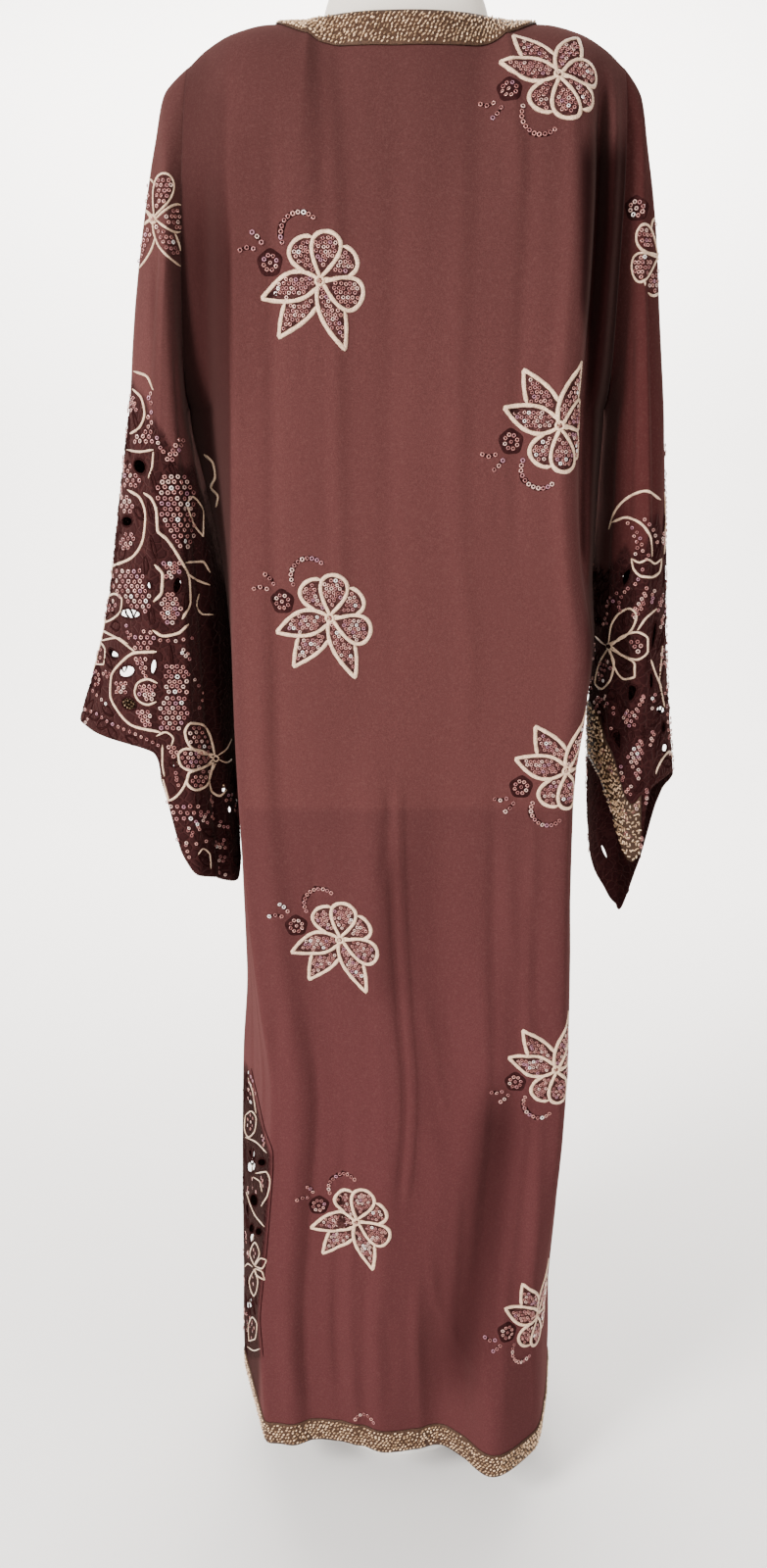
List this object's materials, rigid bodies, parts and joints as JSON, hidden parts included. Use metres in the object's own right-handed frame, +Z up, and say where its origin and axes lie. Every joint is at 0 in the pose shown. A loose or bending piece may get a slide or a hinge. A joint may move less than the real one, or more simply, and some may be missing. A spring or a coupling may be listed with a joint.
{
  "type": "djellaba on a limbless dress form",
  "caption": "Long straight robe with wide open sleeves, woven braid edges and flower embroidery, worn by a limbless torso form on a pole and round base.",
  "frame": {"origin": "centre of the base plate's underside, on the floor", "axes": "+Z up; -Y is the way the garment's back faces and +Y its front; +X is to the right as seen from the garment's back"},
  "size_m": [0.6141, 0.3055, 1.59],
  "materials": {
    "crepe_back": "brown-maroon crepe",
    "crepe_front": "brown-maroon crepe",
    "crepe_sleeve_left": "brown-maroon crepe, embroidered and cut out from the elbow down",
    "crepe_sleeve_right": "brown-maroon crepe, embroidered and cut out from the elbow down",
    "braid_0": "gold and brown woven braid",
    "braid_1": "gold and brown woven braid",
    "braid_2": "gold and brown woven braid",
    "braid_3": "gold and brown woven braid",
    "braid_4": "gold and brown woven braid",
    "form_cover": "smooth pale jersey cover",
    "pole_steel": "satin",
    "base_paint": "satin paint"
  },
  "bodies": {
    "root": {"back_panel": "crepe_back", "front_panel": "crepe_front", "sleeve_left": "crepe_sleeve_left", "sleeve_right": "crepe_sleeve_right", "hem_band_back": "braid_0", "hem_band_front": "braid_1", "neck_band": "braid_2", "cuff_braid_left": "braid_3", "cuff_braid_right": "braid_4", "form_torso": "form_cover", "form_pole": "pole_steel", "form_base": "base_paint"}
  },
  "joints": []
}
